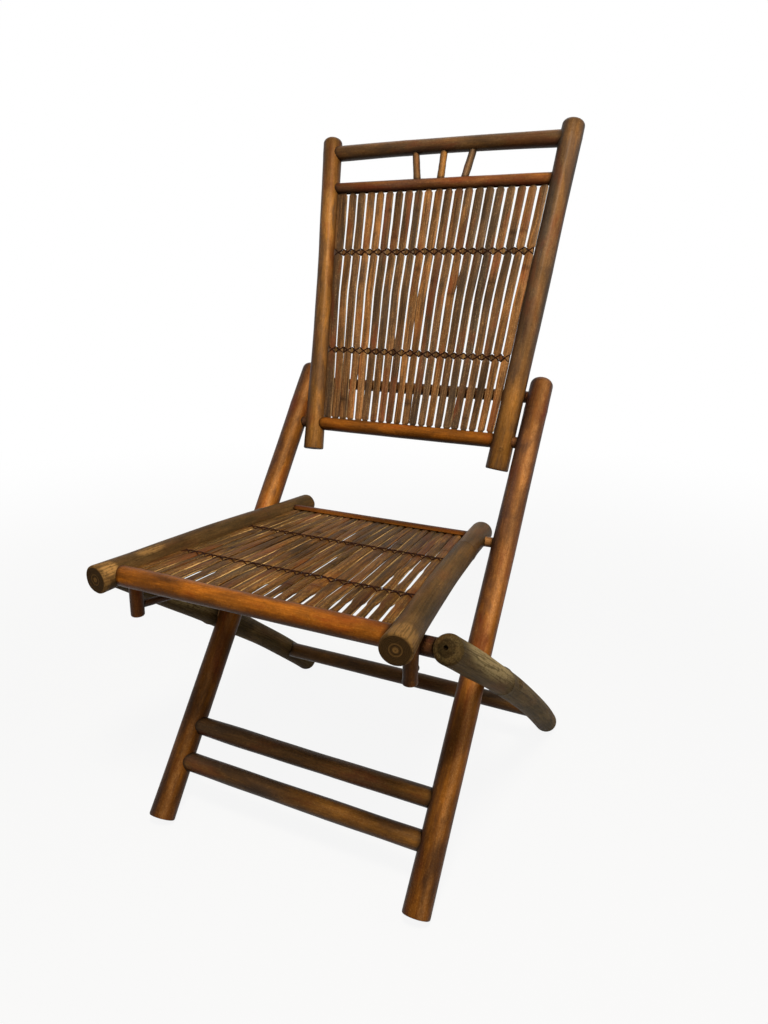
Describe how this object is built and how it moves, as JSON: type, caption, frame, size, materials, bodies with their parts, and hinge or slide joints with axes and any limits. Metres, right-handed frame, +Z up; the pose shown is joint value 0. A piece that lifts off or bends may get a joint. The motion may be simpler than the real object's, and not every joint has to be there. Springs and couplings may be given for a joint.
{
  "type": "folding chair",
  "caption": "Armless folding chair of bamboo culms with crossed legs, a slatted seat and a hinged slatted back that leans on a rod.",
  "frame": {"origin": "on the floor under the middle of the bounding box", "axes": "+Z up; the front faces -Y; +X is on the right of someone looking at the front"},
  "size_m": [0.52, 0.62, 0.9687],
  "materials": {
    "red_bamboo": "glossy red-brown stain",
    "gold_bamboo": "glossy golden-brown stain",
    "olive_bamboo": "matt olive-brown stain",
    "pale_wood": "bare dowel",
    "slat_bamboo": "satin brown stain",
    "cord": "dark twisted fibre cord"
  },
  "bodies": {
    "frame": {"pole_left": "red_bamboo", "back_pivot_pin_left": "red_bamboo", "seat_pivot_pin_left": "pale_wood", "leg_pivot_pin_left": "red_bamboo", "pole_right": "red_bamboo", "back_pivot_pin_right": "red_bamboo", "seat_pivot_pin_right": "pale_wood", "leg_pivot_pin_right": "red_bamboo", "front_stretcher_upper": "red_bamboo", "front_stretcher_lower": "red_bamboo", "back_stop_rod": "red_bamboo"},
    "legs": {"rear_leg_left": "olive_bamboo", "rear_leg_right": "olive_bamboo", "leg_top_rod": "olive_bamboo", "rear_stretcher": "red_bamboo"},
    "seat": {"seat_rail_left": "olive_bamboo", "seat_peg_left": "red_bamboo", "seat_hook_left": "red_bamboo", "seat_slats_left": "slat_bamboo", "seat_rail_right": "olive_bamboo", "seat_peg_right": "red_bamboo", "seat_hook_right": "red_bamboo", "seat_slats_right": "slat_bamboo", "seat_front_rail": "gold_bamboo", "seat_rear_rail": "gold_bamboo", "seat_lacing_1": "cord", "seat_lacing_2": "cord"},
    "back": {"back_post_left": "olive_bamboo", "back_post_right": "olive_bamboo", "back_top_rail": "olive_bamboo", "back_second_rail": "red_bamboo", "back_bottom_rail": "gold_bamboo", "back_spindle_1": "olive_bamboo", "back_spindle_2": "olive_bamboo", "back_spindle_3": "olive_bamboo", "back_slat_01": "slat_bamboo", "back_slat_02": "slat_bamboo", "back_slat_03": "slat_bamboo", "back_slat_04": "slat_bamboo", "back_slat_05": "slat_bamboo", "back_slat_06": "slat_bamboo", "back_slat_07": "slat_bamboo", "back_slat_08": "slat_bamboo", "back_slat_09": "slat_bamboo", "back_slat_10": "slat_bamboo", "back_slat_11": "slat_bamboo", "back_slat_12": "slat_bamboo", "back_slat_13": "slat_bamboo", "back_slat_14": "slat_bamboo", "back_slat_15": "slat_bamboo", "back_slat_16": "slat_bamboo", "back_slat_17": "slat_bamboo", "back_slat_18": "slat_bamboo", "back_slat_19": "slat_bamboo", "back_slat_20": "slat_bamboo", "back_slat_21": "slat_bamboo", "back_lacing_1": "cord", "back_lacing_2": "cord"}
  },
  "joints": [
    {"name": "leg_fold", "type": "hinge", "parent": "frame", "child": "legs", "pos_m": [0, -0.05927, 0.24708], "axis": [-1, 0, 0], "range_deg": [0, 61]},
    {"name": "seat_fold", "type": "hinge", "parent": "frame", "child": "seat", "pos_m": [0, 0.05362, 0.39314], "axis": [-1, 0, 0], "range_deg": [0, 52]},
    {"name": "back_fold", "type": "hinge", "parent": "frame", "child": "back", "pos_m": [0, 0.14975, 0.51752], "axis": [1, 0, 0], "range_deg": [0, 72]}
  ],
  "couplings": [
    {"joint": "seat_fold", "follows": "leg_fold", "ratio": 0.85}
  ]
}
